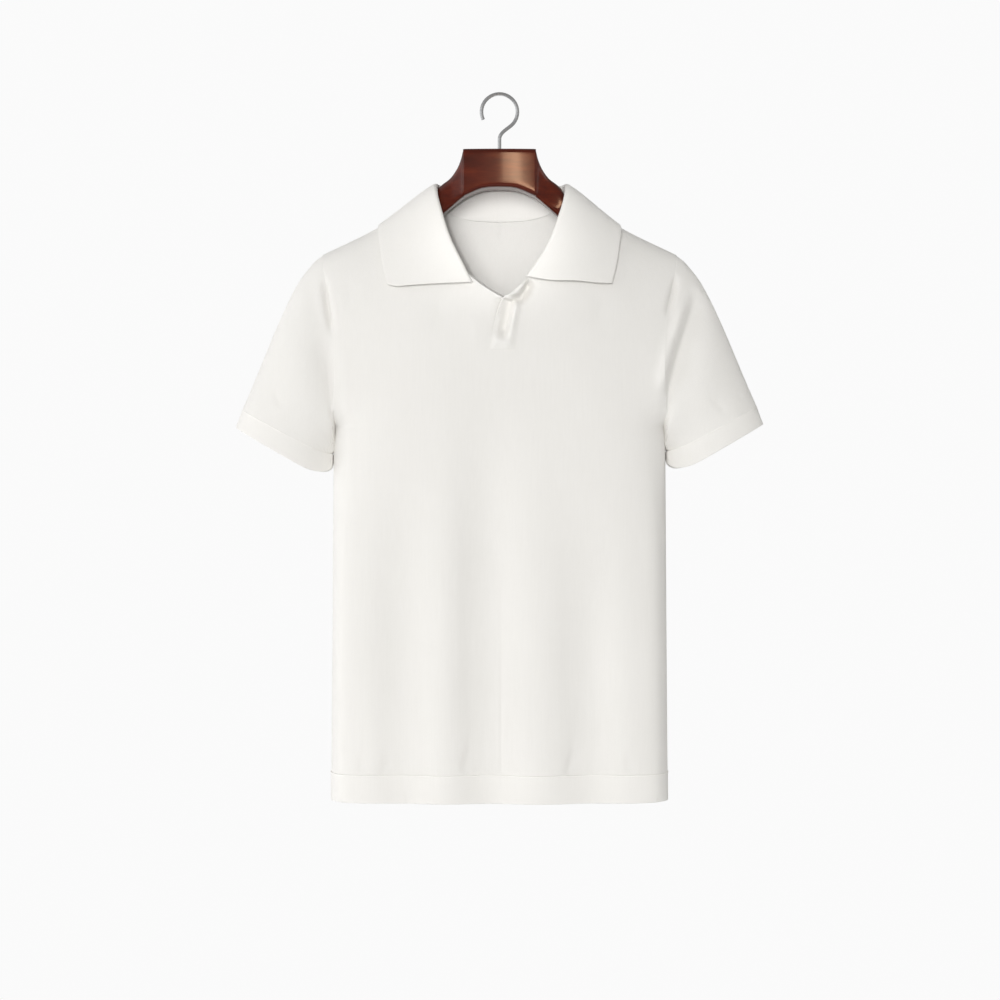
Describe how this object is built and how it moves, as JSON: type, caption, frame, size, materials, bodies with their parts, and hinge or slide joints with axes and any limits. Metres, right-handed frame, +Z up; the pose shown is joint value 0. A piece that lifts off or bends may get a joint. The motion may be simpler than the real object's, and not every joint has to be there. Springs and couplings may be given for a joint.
{
  "type": "polo shirt on a hanger",
  "caption": "Fine-knit short-sleeved polo shirt with an open V neck, a folded collar and a short placket, hung on a shaped wooden hanger with a wire hook.",
  "frame": {"origin": "inner top of the hook, where it lies on a rod", "axes": "+Z up, -Y towards the shirt's front, +X to the viewer's right"},
  "size_m": [0.615, 0.1357, 0.8231],
  "materials": {
    "knit": "matt cream fine-gauge knit",
    "varnished_wood": "red-brown wood under a glossy varnish",
    "hook_wire": "bright plated wire"
  },
  "bodies": {
    "root": {"front_panel": "knit", "back_panel": "knit", "sleeve_right": "knit", "sleeve_left": "knit", "cuff_right": "knit", "cuff_left": "knit", "hem_front": "knit", "hem_back": "knit", "collar": "knit", "placket": "knit", "hanger_wood": "varnished_wood", "hanger_hook": "hook_wire"}
  },
  "joints": []
}
